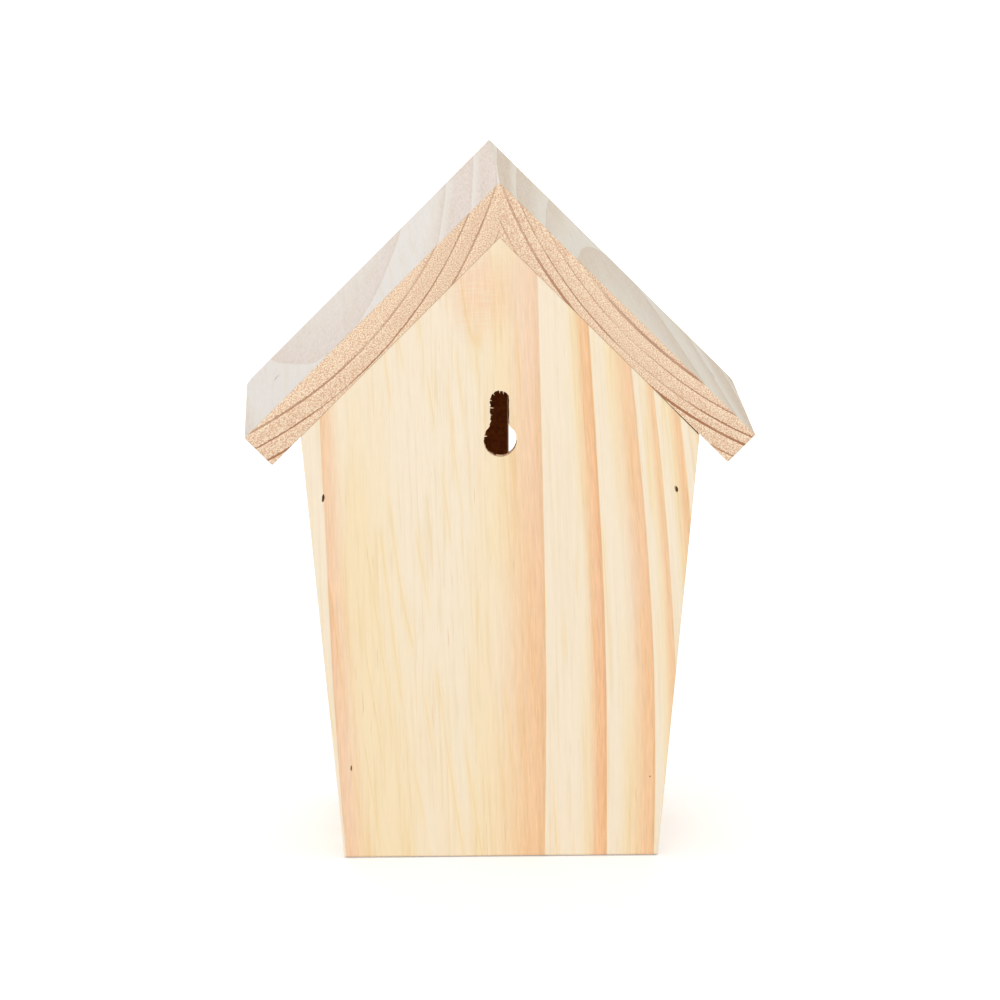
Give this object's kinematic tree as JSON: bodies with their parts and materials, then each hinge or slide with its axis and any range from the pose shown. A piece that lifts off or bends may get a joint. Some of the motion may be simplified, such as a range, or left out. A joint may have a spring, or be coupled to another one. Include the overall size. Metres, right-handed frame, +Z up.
{
  "type": "butterfly house",
  "caption": "Small hanging butterfly house of bare pine: leaning sides, a mitred gable roof, upright entry slots in front and a keyhole hanger in the back.",
  "frame": {"origin": "on the base plane, under the middle of the roof's plan", "axes": "+Z up, the slotted front faces -Y, the hanging back faces +Y, +X to the right seen from the front"},
  "size_m": [0.157, 0.115, 0.21],
  "materials": {
    "panel_pine": "bare planed pine, flat sawn, cream with orange latewood",
    "roof_pine": "bare planed pine, paler and greyer, with sawn end grain",
    "brad_steel": "flat steel wire, T-headed, slightly dull"
  },
  "bodies": {
    "root": {"back_panel": "panel_pine", "front_panel": "panel_pine", "left_wall": "panel_pine", "right_wall": "panel_pine", "floor": "panel_pine", "left_roof_board": "roof_pine", "right_roof_board": "roof_pine", "back_panel_nails": "brad_steel", "front_panel_nails": "brad_steel", "floor_nails": "brad_steel", "roof_nails": "brad_steel"}
  },
  "joints": []
}
